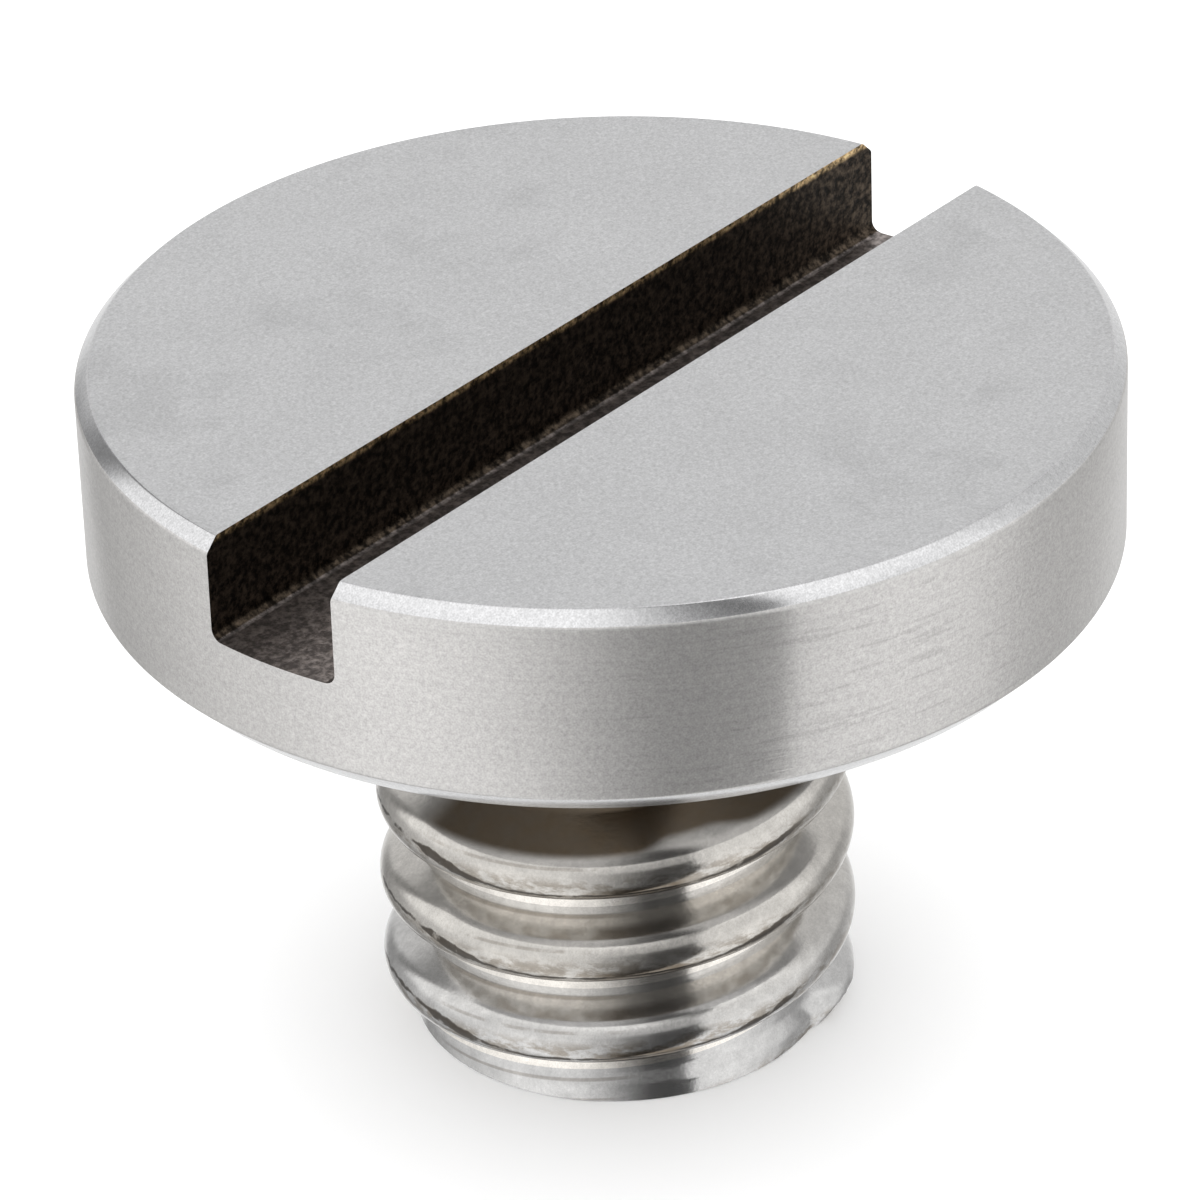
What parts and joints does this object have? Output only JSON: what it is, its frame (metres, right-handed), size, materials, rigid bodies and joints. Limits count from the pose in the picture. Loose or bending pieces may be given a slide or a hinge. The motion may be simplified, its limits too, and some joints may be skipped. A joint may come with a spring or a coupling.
{
  "type": "camera mounting screw",
  "caption": "Slotted disc-head screw that fastens a camera to its support by hand or with a coin, turned from stainless steel",
  "frame": {"origin": "middle of the shank's flat end, on the screw's axis, where the screw stands on its end", "axes": "+Z is the screw's axis, from the shank's flat end to the head's top face. +X is along the coin slot. The slot lies 0.22 mm off the axis towards -Y."},
  "size_m": [0.0136, 0.0135, 0.0098],
  "materials": {
    "turned_steel": "satin turned stainless steel, bright on the slot's edges and the chamfers"
  },
  "bodies": {
    "root": {"screw": "turned_steel"}
  },
  "joints": []
}
